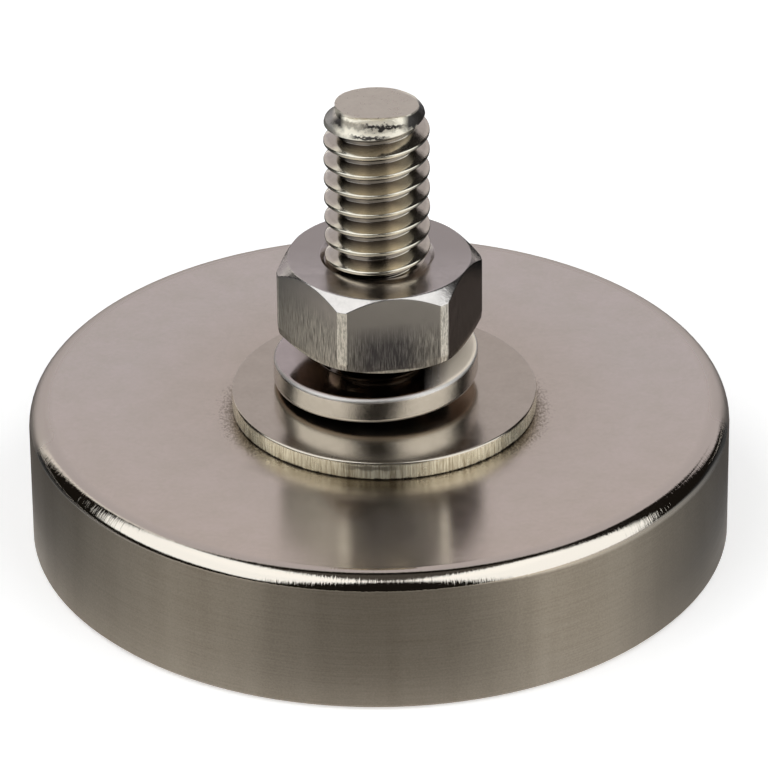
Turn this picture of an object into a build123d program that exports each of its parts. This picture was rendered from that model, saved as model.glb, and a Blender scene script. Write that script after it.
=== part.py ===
from build123d import *
import os
from math import cos, pi, radians, sin, tan

# Pot magnet with a threaded stud, washers and nut. Millimetres, +Z up.
# The origin is the centre of the magnetic face: the pot's open rim lies in the plane z = 0
# and the stud stands on the closed end, along +Z. -Y is the front.

# --- Pot: a turned steel cup, open downwards ---------------------------------------------
pot_diameter = 42.0
pot_height = 8.8
pot_wall = 2.5               # round the cavity
pot_base = 3.2               # closed end, under the washers
pot_edge_radius = 1.25       # round on the outer top edge
pot_rim_bevel = 0.3          # both edges of the rim

# --- Magnet disc, and the resin that glues it in -----------------------------------------
resin_width = 1.6            # magnetic gap between the disc and the pot's wall
magnet_recess = 0.2          # the rim touches first, the brittle disc never
magnet_bevel = 0.4           # round its working face
resin_recess = 0.35          # poured to a little below the rim

# --- Stud: 1/4 inch thread, 20 turns to the inch, pressed in from the cavity side --------
stud_major_diameter = 6.25
thread_pitch = 1.27
stud_projection = 19.65      # above the pot
stud_tip_diameter = 4.6
stud_tip_height = 0.8
stud_shank_diameter = 7.0    # the smooth stretch held by the pot's base
stud_head_diameter = 10.0    # flush in a counterbore, so the pull can't draw it out
stud_head_thickness = 1.2
pitch_radius_drop = 0.3248   # from major to pitch radius, in pitches, of a 60 degree thread

# --- Flat washer: blanked, with eased upper edges and sharp lower ones -------------------
flat_washer_width = 5.15     # radial
flat_washer_thickness = 1.15
flat_washer_play = 1.65      # its bore over the thread, on diameter
flat_washer_bevel = 0.2      # both upper edges
flat_washer_slip = -67.5     # degrees from +X: the way it has slid on the stud

# --- Lock washer: one turn of square-ended spring wire, sprung open ----------------------
lock_washer_width = 2.8      # radial
lock_washer_thickness = 1.65
lock_washer_play = 0.38
lock_washer_bevel = 0.3      # the four edges of the wire
lock_washer_lead = 1.2       # rise from one end to the other, free
lock_washer_slot = 0.9       # between the two cut ends
lock_washer_slant = 25.0     # degrees: the cut leans this far from upright
lock_washer_overrun = 12.0   # degrees that each half is wound past the cut, before slicing
lock_washer_split = 135.0    # degrees from +X: where the cut is
lock_washer_slip = 180.0

# --- Hexagon nut, chamfered on both faces ------------------------------------------------
nut_sides = 6
nut_across_flats = 10.9
nut_height = 5.25
nut_corner_radius = 0.5
nut_top_bevel = 0.05         # where the upper chamfer leaves the middle of a flat
nut_top_slope = 45.0         # degrees from the face
nut_bottom_bevel = 0.25
nut_bottom_slope = 30.0
nut_countersink = 0.3        # radial, outside the thread's crest
nut_turn = 8.4               # degrees from +X to a corner
nut_lift = 0.4               # the nut is left this far above the raised end of the spring
nut_slip = 0.0

# --- Clearances --------------------------------------------------------------------------
thread_clearance = 0.12      # between the meshed threads, on radius, when they are centred
thread_gap = 0.02            # what is left of it on the side to which the loose nut leans
bearing_gap = 0.02           # between the thread's crests and a washer that has slid to it
free_thread_gap = 0.1        # between the nut's face and the free end of the thread

# --- Worked out --------------------------------------------------------------------------
pot_radius = pot_diameter / 2
cavity_radius = pot_radius - pot_wall
cavity_depth = pot_height - pot_base
magnet_radius = cavity_radius - resin_width
stud_radius = stud_major_diameter / 2
mesh_radius = stud_radius - pitch_radius_drop * thread_pitch
flat_washer_bore = stud_radius + flat_washer_play / 2
flat_washer_radius = flat_washer_bore + flat_washer_width
lock_washer_bore = stud_radius + lock_washer_play / 2
lock_washer_radius = lock_washer_bore + lock_washer_width

stud_head_top = cavity_depth + stud_head_thickness
flat_washer_top = pot_height + flat_washer_thickness
lock_washer_top = flat_washer_top + lock_washer_lead + lock_washer_thickness
nut_bottom = lock_washer_top + nut_lift
nut_top = nut_bottom + nut_height
stud_top = pot_height + stud_projection
tip_bottom = stud_top - stud_tip_height

ON_BASE = (Align.CENTER, Align.CENTER, Align.MIN)


def rod(radius, low, high):
    """A plain cylinder on the stud's axis, from height low to height high."""
    return Pos(0, 0, low) * Cylinder(radius, high - low, align=ON_BASE)


def slid(shape, distance, angle):
    """The shape, moved sideways the way a loose washer slides on the stud."""
    return Pos(distance * cos(radians(angle)), distance * sin(radians(angle)), 0) * shape


def pot():
    cup = rod(pot_radius, 0, pot_height)
    cup = fillet(cup.edges().group_by(Axis.Z)[-1], pot_edge_radius)
    cup -= rod(cavity_radius, 0, cavity_depth)
    cup = chamfer(cup.edges().group_by(Axis.Z)[0], pot_rim_bevel)
    cup -= rod(stud_shank_diameter / 2, cavity_depth, pot_height)
    cup -= rod(stud_head_diameter / 2, cavity_depth, stud_head_top)
    return cup


def magnet():
    disc = rod(magnet_radius, magnet_recess, cavity_depth)
    return chamfer(disc.edges().group_by(Axis.Z)[0], magnet_bevel)


def resin_ring():
    """Resin fills the cavity round the disc, up over the disc's bevel."""
    return rod(cavity_radius, resin_recess, cavity_depth) - magnet()


def stud():
    """Head, pressed shank, thread at its major diameter, and a chamfered tip.

    Inside the nut the stud ends at the pitch diameter, where the two meshed threads meet.
    """
    free_end = nut_top + free_thread_gap
    shaft = rod(stud_head_diameter / 2, cavity_depth, stud_head_top)
    shaft += rod(stud_shank_diameter / 2, stud_head_top, pot_height)
    shaft += rod(stud_radius, pot_height, nut_bottom)
    shaft += rod(mesh_radius, nut_bottom, free_end)
    shaft += rod(stud_radius, free_end, tip_bottom)
    tip = Cone(stud_radius, stud_tip_diameter / 2, stud_tip_height, align=ON_BASE)
    return shaft + Pos(0, 0, tip_bottom) * tip


def flat_washer():
    ring = rod(flat_washer_radius, pot_height, flat_washer_top)
    ring -= rod(flat_washer_bore, pot_height, flat_washer_top)
    ring = chamfer(ring.edges().group_by(Axis.Z)[-1], flat_washer_bevel)
    return slid(ring, flat_washer_play / 2 - bearing_gap, flat_washer_slip)


def spring_wire(start, end, low):
    """Spring wire wound about the axis from one angle to another, its middle low at start."""
    rise = lock_washer_lead * (end - start) / 360
    turn = Helix(lock_washer_lead, rise, lock_washer_bore + lock_washer_width / 2)
    path = Pos(0, 0, low) * Rot(0, 0, start) * turn
    heading = Plane(origin=path @ 0, x_dir=Vector(1, 0, 0).rotate(Axis.Z, start), z_dir=path % 0)
    corners = Rectangle(lock_washer_width, lock_washer_thickness)
    section = chamfer(corners.vertices(), lock_washer_bevel)
    return sweep(heading * section, path=path, is_frenet=True)


def lock_washer():
    """One turn of wire, wound with its cut on the X axis and then turned to its place.

    Each half turn runs a little past the cut, and is sliced there on a slant that leans the
    way the wire rises, so that both ends finish in a sharp biting corner.
    """
    half_turn = 180.0
    low = flat_washer_top + lock_washer_thickness / 2
    halfway = low + lock_washer_lead * (half_turn + lock_washer_overrun) / 360
    lower_half = spring_wire(-lock_washer_overrun, half_turn, low)
    upper_half = spring_wire(half_turn, 2 * half_turn + lock_washer_overrun, halfway)

    # A block wider than the wire, for slicing off what runs past the cut
    reach = 2 * lock_washer_radius
    block = Box(reach, reach, reach, align=(Align.MIN, Align.MAX, Align.CENTER))
    cut_height = (flat_washer_top + lock_washer_top) / 2
    lean = Pos(0, 0, cut_height) * Rot(-lock_washer_slant, 0, 0)
    lower_half -= lean * Pos(0, lock_washer_slot / 2, 0) * block
    upper_half -= lean * Pos(0, reach - lock_washer_slot / 2, 0) * block

    ring = Rot(0, 0, lock_washer_split) * (lower_half + upper_half)
    return slid(ring, lock_washer_play / 2 - bearing_gap, lock_washer_slip)


def hex_nut():
    """A hexagon bar, turned to two chamfered faces, bored and countersunk."""
    flat_radius = nut_across_flats / 2
    corner_distance = flat_radius / cos(pi / nut_sides)
    reach = corner_distance + nut_corner_radius
    bore = mesh_radius + thread_clearance
    mouth = stud_radius + nut_countersink
    mouth_depth = mouth - bore
    top_rise = tan(radians(nut_top_slope))
    bottom_rise = tan(radians(nut_bottom_slope))
    top_face = flat_radius - nut_top_bevel / top_rise
    bottom_face = flat_radius - nut_bottom_bevel / bottom_rise
    profile = Polyline(
        (bore, mouth_depth),
        (mouth, 0),
        (bottom_face, 0),
        (reach, (reach - bottom_face) * bottom_rise),
        (reach, nut_height - (reach - top_face) * top_rise),
        (top_face, nut_height),
        (mouth, nut_height),
        (bore, nut_height - mouth_depth),
        close=True,
    )
    turned = revolve(make_face(Plane.XZ * profile), Axis.Z)
    hexagon = RegularPolygon(corner_distance, nut_sides, rotation=nut_turn)
    hexagon = fillet(hexagon.vertices(), nut_corner_radius)
    nut = Pos(0, 0, nut_bottom) * (extrude(hexagon, nut_height) & turned)
    return slid(nut, thread_clearance - thread_gap, nut_slip)


nodes = {
    "pot": pot,
    "magnet": magnet,
    "resin_ring": resin_ring,
    "stud": stud,
    "flat_washer": flat_washer,
    "lock_washer": lock_washer,
    "hex_nut": hex_nut,
}

os.makedirs("parts", exist_ok=True)
for name, make in nodes.items():
    export_step(make(), f"parts/{name}.step")
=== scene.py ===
from math import acos, atan2, ceil, cos, hypot, pi, radians, sin, tan

import bmesh
import bpy
from mathutils import Matrix, Quaternion, Vector, noise


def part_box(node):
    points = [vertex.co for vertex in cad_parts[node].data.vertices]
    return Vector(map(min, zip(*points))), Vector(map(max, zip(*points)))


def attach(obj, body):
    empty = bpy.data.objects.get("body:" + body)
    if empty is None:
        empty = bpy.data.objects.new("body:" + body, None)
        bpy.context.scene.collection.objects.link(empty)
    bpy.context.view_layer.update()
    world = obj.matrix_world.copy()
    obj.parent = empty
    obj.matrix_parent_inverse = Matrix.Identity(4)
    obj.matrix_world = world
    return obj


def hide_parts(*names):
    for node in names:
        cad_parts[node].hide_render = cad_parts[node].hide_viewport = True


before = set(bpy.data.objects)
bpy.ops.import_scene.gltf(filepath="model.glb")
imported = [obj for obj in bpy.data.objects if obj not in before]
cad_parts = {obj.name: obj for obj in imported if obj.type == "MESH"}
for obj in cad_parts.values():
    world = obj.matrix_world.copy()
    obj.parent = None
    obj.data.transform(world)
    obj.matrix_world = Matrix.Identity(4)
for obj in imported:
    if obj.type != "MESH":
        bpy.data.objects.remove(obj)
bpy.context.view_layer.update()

# The looks of the pot magnet. Lengths are in millimetres up to place(), which makes them metres.
# The frame is the CAD's: +Z along the stud, -Y the front. An azimuth is measured from the front
# towards +X, and an angle on the object from +X towards +Y.
MM = 0.001


class Size:
    """Where a CAD node lies and how large it is, in millimetres."""

    def __init__(self, node):
        low, high = (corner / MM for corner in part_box(node))
        self.centre = ((low.x + high.x) / 2, (low.y + high.y) / 2)
        self.radius = (high.y - low.y) / 2
        self.bottom = low.z
        self.top = high.z


POT = Size("pot")
STUD = Size("stud")
FLAT_WASHER = Size("flat_washer")
LOCK_WASHER = Size("lock_washer")
NUT = Size("hex_nut")

# --- Finer sizes than the frame gives ---
GUARD = 0.02  # a corner's arc keeps a point this far off on each side
JOIN = 1e-4  # points nearer than this are one
SHARP_ANGLE = 40  # degrees: steeper edges are shaded sharp
SPRING_SHARP_ANGLE = 30

POT_EDGE = 1.3  # outer band that holds the pot's round edge and wall
WALL_SLOPE = 0.38  # faces with their normal's rise between these are the wall
WALL_UNDER = -0.8

THREAD_PITCH = 1.27
THREAD_RADIUS = 3.125
THREAD_ROOT_RADIUS = 2.37
THREAD_FLANK = radians(30)
THREAD_CREST = 0.17  # width of the crest's flat
THREAD_CREST_ROUND = 0.09
THREAD_ROOT_ROUND = 0.16
THREAD_CREST_HEIGHT = 26.43  # where one crest passes the angle below
THREAD_CREST_ANGLE = -107.5
THREAD_STEPS = 96  # to a turn
THREAD_SINK = 0.2  # the first turn starts this far below the pot's top
THREAD_CLOSING = 2.0  # and closes this steeply

TIP_RADIUS = 2.6  # the flat, at its left and right
TIP_FRONT_RADIUS = 1.75  # it was ground a little askew
TIP_BACK_RADIUS = 2.25
TIP_DEPTH = 1.3  # from the flat down to the full thread, at the sides
TIP_FRONT_DEPTH = 1.0
TIP_ROUND = 1.4
TIP_GROOVE = 0.30  # the thread's root runs out over the chamfer this deep
TIP_GROOVE_RISE = 0.2  # and this wide, over its bottom
TIP_GROOVE_FADE = 8.0  # per mm under the flat
TIP_ROUGH = 0.05
TIP_ROUGH_FADE = 6.0
TIP_ROUGH_CELL = 0.35
TIP_ROUGH_RADIUS = 2.5  # the roughness is laid out on a cylinder of this radius
TIP_SLOPE = 1.2  # how steeply the thread closes over the flat
SHANK_RADIUS = 3.5
STUD_HEAD_RADIUS = 5.0
STUD_HEAD_HEIGHT = 1.2
STUD_FOOT_ROUNDS = (0, 0.1, 0.1, 0.1, 0.05, 0)
STUD_FOOT_STEPS = 96  # to a turn

WASHER_BORE_RADIUS = 3.95
WASHER_ROUNDS = (0.04, 0.12, 0.13, 0.15)  # from the bore's lower edge outwards and back
WASHER_STEPS = 360

SPRING_WIDTH = 2.8
SPRING_THICKNESS = 1.65
SPRING_ROUND = 0.3
SPRING_LEAD = 1.2
SPRING_SLOT = 0.9
SPRING_SLANT = 25.0
SPRING_SPLIT = 135.0
SPRING_STEPS = 180

NUT_CENTRE = (0.1, 0.0)
NUT_FLATS = 10.9
NUT_TURN = 8.4
NUT_CORNER_CUT = 0.33  # along each side, from the sharp corner
NUT_CORNER_ROUND = 0.3
NUT_TOP_BEVEL = 0.05
NUT_BOTTOM_BEVEL = 0.25
NUT_BOTTOM_SLOPE = radians(30)
NUT_SIDE_STEPS = 20  # along each flat
NUT_ROUNDS = (0, 0.1, 0.08, 0.15, 0.12, 0.24, 0)  # along nut_column()
NUT_MOUTH = 3.42
NUT_MOUTH_EDGE = 3.72  # the faces end here, and the mouth's rolled edge begins
NUT_MOUTH_ROLL = 0.13
NUT_MOUTH_DEPTH = 0.75
NUT_MOUTH_SHIFT = (-0.12, 0.27)
NUT_MOUTH_BELOW = 0.3  # the lower mouth has this share of the shift
NUT_BORE = 2.2  # the countersink runs on to here, hidden by the thread
NUT_BORE_DROP = 0.2
NUT_THREAD = (3.2, 2.56, 0.3, 0.05, 0.05)  # as thread_profile() takes them
NUT_THREAD_END = 0.25  # inside each face
NUT_LIP_HEIGHT = 0.5  # strip along the foot of each flat, turned in a little
NUT_LIP = 0.05


# --- Mesh code ---
def arc_corner(before, corner, after, radius, steps):
    """Points that turn the corner by an arc, with a guard point before and after it."""
    back = before - corner
    on = after - corner
    room = min(back.length, on.length) / 2
    back.normalize()
    on.normalize()
    half = acos(max(-1.0, min(1.0, back.dot(on)))) / 2
    if half > radians(89.5):
        return [corner] * (steps + 3)
    guard = min(GUARD, room / 4)
    reach = min(radius / tan(half), room - guard)
    centre = corner + (back + on).normalized() * (reach / cos(half))
    start = corner + back * reach
    end = corner + on * reach
    spin = pi - 2 * half
    turned = []
    for step in range(steps + 1):
        share = step / steps
        one = sin((1 - share) * spin) / sin(spin)
        two = sin(share * spin) / sin(spin)
        turned.append(centre + (start - centre) * one + (end - centre) * two)
    return [start + back * guard, *turned, end + on * guard]


def rounded(points, radii, steps=6, closed=False):
    """The outline with its corners turned into arcs. Corners with a radius of 0 stay sharp."""
    points = [Vector(p) for p in points]
    count = len(points)
    if not isinstance(radii, (list, tuple)):
        radii = [radii] * count
    made = []
    for i, point in enumerate(points):
        end = not closed and i in (0, count - 1)
        if end or not radii[i]:
            made.append(point)
            continue
        made += arc_corner(points[i - 1], point, points[(i + 1) % count], radii[i], steps)
    return made


def cylindrical(radius, angle, height):
    return Vector((radius * cos(angle), radius * sin(angle), height))


def skin(name, rings, ring_closed=True, rings_closed=False, caps=False):
    """A mesh over rings of equally many points. Points that meet are joined into one."""
    mesh = bmesh.new()
    rows = [[mesh.verts.new(p) for p in ring] for ring in rings]
    size = len(rings[0])
    for i in range(len(rows) if rings_closed else len(rows) - 1):
        this, following = rows[i], rows[(i + 1) % len(rows)]
        for j in range(size if ring_closed else size - 1):
            k = (j + 1) % size
            mesh.faces.new((this[j], following[j], following[k], this[k]))
    if caps:
        mesh.faces.new(rows[0])
        mesh.faces.new(list(reversed(rows[-1])))
    bmesh.ops.remove_doubles(mesh, verts=mesh.verts, dist=JOIN)
    bmesh.ops.dissolve_degenerate(mesh, edges=mesh.edges, dist=JOIN)
    bmesh.ops.recalc_face_normals(mesh, faces=mesh.faces)
    return finished(name, mesh)


def linked(name, data):
    """A new object with this data, in the scene."""
    made = bpy.data.objects.new(name, data)
    bpy.context.collection.objects.link(made)
    return made


def finished(name, mesh):
    data = bpy.data.meshes.new(name)
    mesh.to_mesh(data)
    mesh.free()
    return linked(name, data)


def lathe(name, profile, steps):
    """The closed (radius, height) profile turned about the Z axis."""
    angles = [2 * pi * i / steps for i in range(steps)]
    rings = [[cylindrical(p.x, a, p.y) for p in profile] for a in angles]
    return skin(name, rings, rings_closed=True)


def joined(name, first, *others):
    """One object from several, named anew."""
    mesh = bmesh.new()
    for part in (first, *others):
        mesh.from_mesh(part.data)
        bpy.data.objects.remove(part)
    return finished(name, mesh)


def place(piece, node, slot, material, centre=(0, 0), sharp=SHARP_ANGLE):
    """Puts a piece, made in millimetres, in the frame as the stand-in for a CAD node."""
    piece.data.transform(Matrix.Scale(MM, 4) @ Matrix.Translation((*centre, 0)))
    piece.data.materials.append(material)
    piece.data.shade_smooth()
    piece.data.set_sharp_from_angle(angle=radians(sharp))
    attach(piece, "root")
    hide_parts(node)


# --- Materials ---
class Nodes:
    """A node tree, built by short calls. A share is a value between 0 and 1."""

    def __init__(self, owner):
        owner.use_nodes = True
        self.tree = owner.node_tree

    def add(self, kind, *inputs, **settings):
        """A node, with its first inputs linked to sockets or set to plain values."""
        made = self.tree.nodes.new("ShaderNode" + kind)
        for key, value in settings.items():
            setattr(made, key, value)
        for socket, value in zip(made.inputs, inputs):
            self.feed(socket, value)
        return made

    def feed(self, socket, value):
        if isinstance(value, bpy.types.NodeSocket):
            self.tree.links.new(value, socket)
        elif value is not None:
            socket.default_value = value

    def math(self, operation, *inputs, clamp=False):
        return self.add("Math", *inputs, operation=operation, use_clamp=clamp).outputs[0]

    def both(self, one, two):
        return self.math("MULTIPLY", one, two)

    def either(self, one, two):
        return self.math("MAXIMUM", one, two)

    def scaled(self, value, factor, offset):
        return self.math("MULTIPLY_ADD", value, factor, offset)

    def off(self, value, middle):
        """How far a value is from a middle one."""
        return self.math("ABSOLUTE", self.math("SUBTRACT", value, middle))

    def vector(self, operation, *inputs):
        return self.add("VectorMath", *inputs, operation=operation).outputs[0]

    def length(self, vector):
        return self.add("VectorMath", vector, operation="LENGTH").outputs["Value"]

    def span(self, value, low, high, out_low=0.0, out_high=1.0):
        """The value's stretch from low to high, carried over to out_low to out_high."""
        return self.add("MapRange", value, low, high, out_low, out_high, clamp=True).outputs[0]

    def until(self, value, low, high, full=1.0):
        """Full below low, and fading out up to high."""
        return self.span(value, low, high, full, 0.0)

    def blend(self, share, one, two):
        """Values one and two, blended."""
        return self.span(share, 0.0, 1.0, one, two)

    def rest(self, share):
        """What a share leaves of 1."""
        return self.blend(share, 1.0, 0.0)

    def mix(self, share, one, two):
        """Colours one and two, blended."""
        made = self.add("Mix", data_type="RGBA")
        self.feed(made.inputs[0], share)
        for socket, value in ((made.inputs[6], one), (made.inputs[7], two)):
            self.feed(socket, (*value, 1) if isinstance(value, tuple) else value)
        return made.outputs[2]


class Paint(Nodes):
    """A Principled material whose patterns are laid out in millimetres about a piece's axis."""

    def __init__(self, name, metallic=1.0, centre=(0, 0)):
        self.material = bpy.data.materials.new(name)
        super().__init__(self.material)
        self.shader = self.tree.nodes["Principled BSDF"]
        self.set("Metallic", metallic)
        metres = self.add("TexCoord").outputs["Object"]
        enlarged = self.vector("MULTIPLY", metres, (1 / MM, 1 / MM, 1 / MM))
        self.position = self.vector("SUBTRACT", enlarged, (*centre, 0))
        self.x, self.y, self.height = self.add("SeparateXYZ", self.position).outputs
        flat = self.add("CombineXYZ", self.x, self.y, 0.0).outputs[0]
        self.outward = self.vector("NORMALIZE", flat)
        self.radius = self.length(flat)
        self.surface = self.add("NewGeometry").outputs["Normal"]
        self.across, self.turn, self.facing = self.add("SeparateXYZ", self.surface).outputs
        self.normal = None

    def set(self, name, value):
        self.feed(self.shader.inputs[name], value)

    def noise(self, cell, detail=2.0, rough=0.5, where=None):
        """Noise between 0 and 1, with cells of the given size along x, y and z."""
        sizes = tuple(1 / c for c in cell)
        made = self.add("TexNoise")
        self.feed(made.inputs["Vector"], self.vector("MULTIPLY", where or self.position, sizes))
        self.feed(made.inputs["Scale"], 1.0)
        self.feed(made.inputs["Detail"], detail)
        self.feed(made.inputs["Roughness"], rough)
        return made.outputs["Fac"]

    def even_noise(self, size, detail=2.0, rough=0.5):
        """Noise with cells of one size in all directions."""
        return self.noise((size, size, size), detail, rough)

    def streaks(self, radius, cell, length, detail=2.0, rough=0.5):
        """Noise laid out round the axis: cells across, drawn out along the surface's fall."""
        around = self.vector("MULTIPLY", self.outward, (radius, radius, 0))
        rise = self.add("CombineXYZ", 0.0, 0.0, self.height).outputs[0]
        where = self.vector("ADD", around, rise)
        return self.noise((cell, cell, length), detail, rough, where)

    def spread(self, noise, low, high):
        """Noise carried over to low to high: most of it lies between the two limits here."""
        return self.span(noise, NOISE_LOW, NOISE_HIGH, low, high)

    def mottle(self, cell):
        """Share between 0 and 1: soft patches with a fine speckle over them."""
        patches = self.even_noise(cell, 3.0, 0.6)
        specks = self.even_noise(SPECKLE, 1.0)
        mixed = self.scaled(specks, SPECKLE_SHARE, self.both(patches, 1 - SPECKLE_SHARE))
        return self.span(mixed, 0.35, 0.65)

    def distance(self, centre):
        """How far a point is from an upright line, in mm."""
        away = self.vector("SUBTRACT", self.position, (*centre, 0))
        return self.length(self.vector("MULTIPLY", away, (1, 1, 0)))

    def bump(self, height, depth, share=None):
        """Relief: height 1 stands depth millimetres above height 0, where the share is 1."""
        if share:
            height = self.both(height, share)
        made = self.add("Bump")
        self.feed(made.inputs["Strength"], 1.0)
        self.feed(made.inputs["Distance"], depth * MM)
        self.feed(made.inputs["Height"], height)
        if self.normal:
            self.feed(made.inputs["Normal"], self.normal)
        self.normal = made.outputs[0]
        self.set("Normal", self.normal)

    def turned(self, strength):
        """Reflections drawn out across fine turning marks round the axis."""
        self.set("Anisotropic", strength)
        self.set("Anisotropic Rotation", 0.25)
        tangent = self.add("Tangent", direction_type="RADIAL", axis="Z")
        self.set("Tangent", tangent.outputs[0])

    def edge_polish(self):
        """Roughness of the pot's round edge: bright in front, satin at the sides and back."""
        place = self.scaled(self.x, EDGE_DULL_SKEW, self.y)
        dull = self.span(place, *EDGE_DULL_SPAN)
        return self.blend(dull, EDGE_BRIGHT, EDGE_DULL)

    def edge_tears(self):
        """Short streaks down the pot's round edge."""
        return self.streaks(POT.radius, 0.13, 1.6, 2.0, 0.7)


# A pair is where a change starts and ends, in millimetres if its comment doesn't say otherwise.
NOISE_LOW, NOISE_HIGH = 0.3, 0.7
SPECKLE = 0.25
SPECKLE_SHARE = 0.35

EDGE_COLOUR = (0.645, 0.572, 0.484)
EDGE_RAGGED = 0.010
EDGE_BRIGHT = 0.075  # roughness of the pot's round edge
EDGE_DULL = 0.38
EDGE_DULL_SPAN = (-5.5, -3.0)  # the polish wears off between these places, front to back
EDGE_DULL_SKEW = -0.05
EDGE_START = (POT.radius - 1.45, POT.radius - 0.95)
TOP_BACK = (-18.0, 4.0)  # the top's outer part changes colour towards the back
TOP_OUTER = (9.5, 15.5)  # radii, from the warmer middle out
# a brown stain round the washer, partly painted contact shade; also the painted reflection's colour
STAIN_AND_SHADE_COLOUR = (0.19, 0.15, 0.1)
STAIN_AND_SHADE_LEVEL = (1.08, 1.45)  # noise plus nearness at which the stain and its painted contact shade show
RING = (9.15, 11.8)  # the pot is stained, painted with contact shade and rough this far from the washer's middle
RING_BACK = (-5.0, 6.0)
RING_FRONT = (-9.5, -5.0)
PAINTED_REFLECTION = (9.9, 11.2)  # a painted dark reflection of the front of the washer's rim makes the pot darkest here
PAINTED_REFLECTION_LEFT = (-3.2, -1.8)
PAINTED_REFLECTION_RIGHT = (0.9, 2.2)
PAINTED_REFLECTION_BACK = (-9.0, -7.5)


def pot_top_material():
    """Satin nickel, warmer and darker round the washers, with a stain that is partly painted
    contact shade, a painted dark reflection of the washer's rim, and a ragged, polished edge.
    """
    paint = Paint("pot_top_nickel")
    share = paint.mottle(2.2)
    far = paint.mix(share, (0.662, 0.602, 0.512), (0.712, 0.636, 0.56))
    near = paint.mix(share, (0.682, 0.592, 0.478), (0.73, 0.626, 0.52))
    outer = paint.mix(paint.span(paint.y, *TOP_BACK), near, far)
    inner = paint.mix(share, (0.622, 0.546, 0.444), (0.672, 0.584, 0.486))
    colour = paint.mix(paint.span(paint.radius, *TOP_OUTER), inner, outer)
    from_washer = paint.distance(FLAT_WASHER.centre)
    ring = paint.both(paint.until(from_washer, *RING), paint.span(paint.y, *RING_BACK, 1.0, 0.6))
    stain_and_shade = paint.noise((0.11, 0.16, 0.13), 2.0, 0.7)
    heavy = paint.both(ring, paint.span(paint.y, *RING_FRONT, 0.8, 1.0))
    level = paint.scaled(stain_and_shade, 0.9, heavy)
    colour = paint.mix(paint.span(level, *STAIN_AND_SHADE_LEVEL), colour, STAIN_AND_SHADE_COLOUR)
    # Painted reflection: the top is darkened where it would mirror the front of the washer's rim
    left = paint.span(paint.x, *PAINTED_REFLECTION_LEFT, 0.55, 0.95)
    right = paint.span(paint.x, *PAINTED_REFLECTION_RIGHT, 0.95, 0.3)
    painted_reflection = paint.both(paint.math("MINIMUM", left, right), paint.until(from_washer, *PAINTED_REFLECTION))
    painted_reflection = paint.both(painted_reflection, paint.until(paint.y, *PAINTED_REFLECTION_BACK))
    colour = paint.mix(painted_reflection, colour, STAIN_AND_SHADE_COLOUR)
    edge = paint.span(paint.radius, *EDGE_START)
    paint.set("Base Color", paint.mix(edge, colour, EDGE_COLOUR))
    satin = paint.spread(paint.even_noise(1.5), 0.14, 0.17)
    satin = paint.scaled(ring, 0.12, satin)
    paint.set("Roughness", paint.blend(edge, satin, paint.edge_polish()))
    paint.turned(0.7)
    paint.bump(paint.even_noise(0.08, 2.0, 0.6), 0.0022)
    paint.bump(stain_and_shade, 0.012, ring)
    paint.bump(paint.edge_tears(), EDGE_RAGGED, edge)
    return paint.material


WALL_TOP = 7.93  # the wall's turning marks end here, partway up the round edge
WALL_RAGGED = 0.12  # and are this uneven there
WALL_POLISH = 0.02  # how far under WALL_TOP the polish begins, at the left
WALL_POLISH_RIGHT = 0.32  # and at the right
WALL_RIGHT = (5.0, 12.0)
WALL_FACES = (-0.5, -0.3)  # upward part of the normal: lower is the rim's bevel
SHADE_RIGHT = (13.0, 19.0)  # the wall's right foot is painted darker: painted shade
SHADE_FOOT = (7.0, 3.0)


def pot_side_material():
    """Fine turning marks round the pot, with faint upright bands, on nickel darker than the top's:
    painted shade.
    """
    paint = Paint("pot_side_turned")
    ragged = paint.edge_tears()
    border = paint.scaled(ragged, WALL_RAGGED, WALL_TOP - WALL_RAGGED / 2)
    rise = paint.math("SUBTRACT", paint.height, border)
    low = paint.span(paint.x, *WALL_RIGHT, -WALL_POLISH, -WALL_POLISH_RIGHT)
    edge = paint.span(rise, low, 0.03)
    upright = paint.both(paint.span(paint.facing, *WALL_FACES), paint.rest(edge))
    level = paint.add("Mix", data_type="VECTOR")
    paint.feed(level.inputs[0], upright)
    paint.feed(level.inputs[4], paint.surface)
    paint.feed(level.inputs[5], paint.outward)
    paint.normal = paint.vector("NORMALIZE", level.outputs[1])
    bands = paint.streaks(POT.radius, 2.6, 30.0, 2.0, 0.6)
    grain = paint.even_noise(0.11, 3.0, 0.7)
    marks = paint.noise((4.0, 4.0, 0.085), 1.0, 0.4)
    pattern = paint.scaled(bands, 0.3, paint.both(grain, 0.4))
    pattern = paint.scaled(marks, 0.3, pattern)
    share = paint.span(pattern, 0.38, 0.62)
    # Painted shade: the wall's nickel is much darker than the top's
    wall = paint.mix(share, (0.258, 0.219, 0.171), (0.356, 0.307, 0.245))
    # Painted shade towards the wall's right foot
    right = paint.both(paint.span(paint.x, *SHADE_RIGHT), paint.span(paint.height, *SHADE_FOOT))
    wall = paint.mix(paint.both(right, 0.7), wall, (0.17, 0.15, 0.125))
    paint.set("Base Color", paint.mix(edge, wall, EDGE_COLOUR))
    rough = paint.spread(marks, 0.48, 0.58)
    paint.set("Roughness", paint.blend(edge, rough, paint.edge_polish()))
    dull = paint.rest(edge)
    paint.bump(marks, 0.004, dull)
    paint.bump(grain, 0.003, dull)
    paint.bump(ragged, EDGE_RAGGED, edge)
    paint.turned(0.8)
    return paint.material


RIM = (FLAT_WASHER.top - 0.2, FLAT_WASHER.top - 0.1)  # the sheared rim starts here
RIM_SHADE_DEPTH = 0.22  # a dark, ragged band of painted shade along the front of the rim
RIM_SHADE_WIDTH = (0.08, 0.2)
RIM_SHADE_PLACE = -0.8
RIM_SHADE_REACH = (0.9, 2.0)
RIM_SHADE_BACK = (-7.5, -6.5)
CONTACT_SHADOW_HEIGHT = 0.45  # and a darker one along its foot, from here down: a painted contact shadow
CONTACT_SHADOW_FOOT = (FLAT_WASHER.bottom - 0.20, FLAT_WASHER.bottom - 0.08)


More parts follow.
